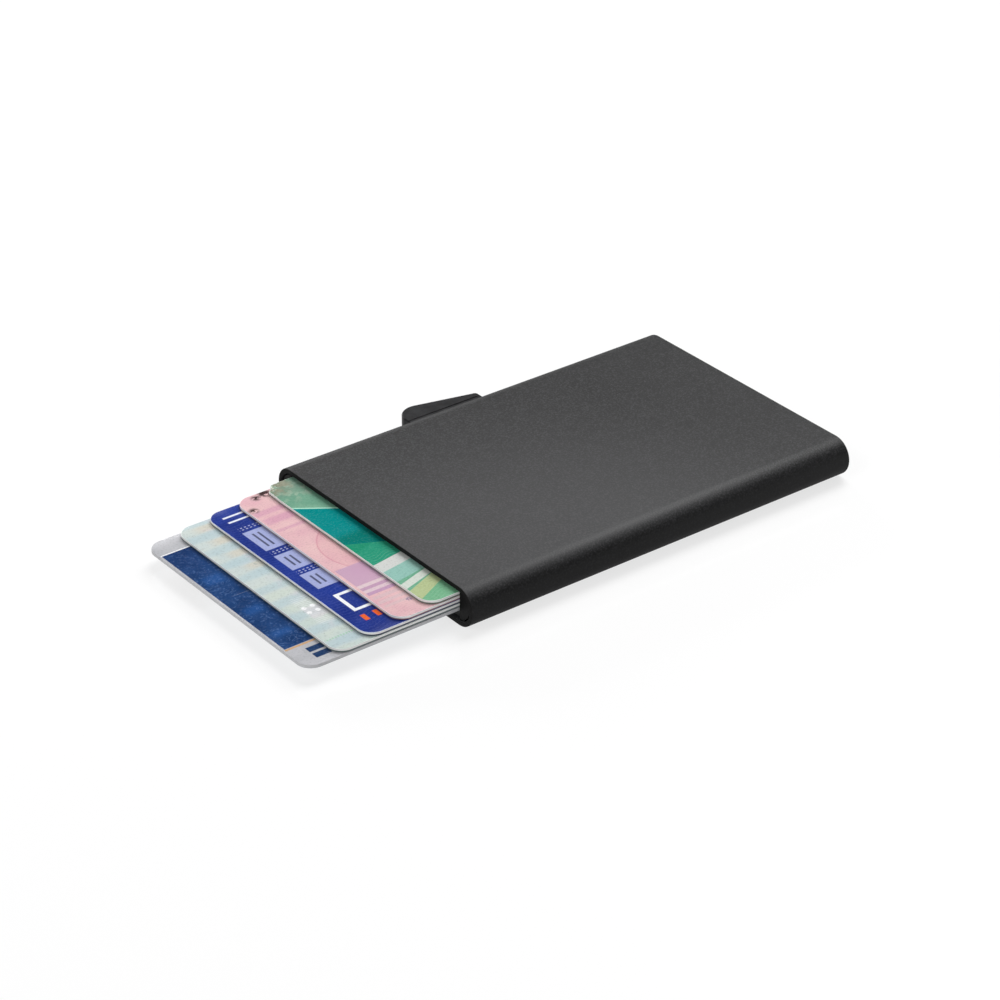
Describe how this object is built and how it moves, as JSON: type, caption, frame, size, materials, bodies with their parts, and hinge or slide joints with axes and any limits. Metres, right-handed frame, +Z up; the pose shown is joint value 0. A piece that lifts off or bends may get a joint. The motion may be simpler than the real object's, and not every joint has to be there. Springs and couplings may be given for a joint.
{
  "type": "card wallet",
  "caption": "Slim aluminium card holder; a thumb slider on one side pushes the plastic cards out of its mouth as a stepped fan.",
  "frame": {"origin": "centre of the case's flat bottom face", "axes": "+X from the mouth to the closed end, +Y towards the slider's side, +Z up through the card stack"},
  "size_m": [0.1277, 0.0685, 0.0083],
  "materials": {
    "anodised_case": "matte black anodised",
    "black_moulding": "moulded, matte",
    "button_plastic": "fine matte texture",
    "stamped_steel": "stamped, satin",
    "rivet_steel": "bright zinc",
    "black_felt": "dense felt",
    "card_1_print": "laminated, printed navy on silver",
    "card_2_print": "laminated, printed pale mint",
    "card_3_print": "laminated, printed royal blue",
    "card_4_print": "laminated, printed pink",
    "card_5_print": "laminated, printed green"
  },
  "bodies": {
    "case": {"case_shell": "anodised_case", "end_cap": "black_moulding", "plain_side_rail": "black_moulding", "slide_side_rail": "black_moulding", "spring_tray": "black_moulding", "leaf_spring_left": "stamped_steel", "leaf_spring_right": "stamped_steel", "spring_rivets": "rivet_steel", "mouth_pad_lower": "black_felt", "mouth_pad_upper": "black_felt"},
    "slider": {"slide_button": "button_plastic", "carriage": "black_moulding", "ejector_blade_1": "stamped_steel"},
    "blade_2": {"ejector_blade_2": "stamped_steel"},
    "blade_3": {"ejector_blade_3": "stamped_steel"},
    "blade_4": {"ejector_blade_4": "stamped_steel"},
    "blade_5": {"ejector_blade_5": "stamped_steel"},
    "card_1": {"card_1": "card_1_print"},
    "card_2": {"card_2": "card_2_print"},
    "card_3": {"card_3": "card_3_print"},
    "card_4": {"card_4": "card_4_print"},
    "card_5": {"card_5": "card_5_print"}
  },
  "joints": [
    {"name": "slider_travel", "type": "slide", "parent": "case", "child": "slider", "axis": [1, 0, 0], "range_m": [0, 0.0337]},
    {"name": "blade_2_travel", "type": "slide", "parent": "case", "child": "blade_2", "axis": [1, 0, 0], "range_m": [0, 0.02696]},
    {"name": "blade_3_travel", "type": "slide", "parent": "case", "child": "blade_3", "axis": [1, 0, 0], "range_m": [0, 0.02022]},
    {"name": "blade_4_travel", "type": "slide", "parent": "case", "child": "blade_4", "axis": [1, 0, 0], "range_m": [0, 0.01348]},
    {"name": "blade_5_travel", "type": "slide", "parent": "case", "child": "blade_5", "axis": [1, 0, 0], "range_m": [0, 0.00674]},
    {"name": "card_1_pull", "type": "slide", "parent": "slider", "child": "card_1", "axis": [-1, 0, 0], "range_m": [0, 0.09]},
    {"name": "card_2_pull", "type": "slide", "parent": "blade_2", "child": "card_2", "axis": [-1, 0, 0], "range_m": [0, 0.09]},
    {"name": "card_3_pull", "type": "slide", "parent": "blade_3", "child": "card_3", "axis": [-1, 0, 0], "range_m": [0, 0.09]},
    {"name": "card_4_pull", "type": "slide", "parent": "blade_4", "child": "card_4", "axis": [-1, 0, 0], "range_m": [0, 0.09]},
    {"name": "card_5_pull", "type": "slide", "parent": "blade_5", "child": "card_5", "axis": [-1, 0, 0], "range_m": [0, 0.09]}
  ],
  "couplings": [
    {"joint": "blade_2_travel", "follows": "slider_travel", "ratio": 0.8},
    {"joint": "blade_3_travel", "follows": "slider_travel", "ratio": 0.6},
    {"joint": "blade_4_travel", "follows": "slider_travel", "ratio": 0.4},
    {"joint": "blade_5_travel", "follows": "slider_travel", "ratio": 0.2}
  ]
}
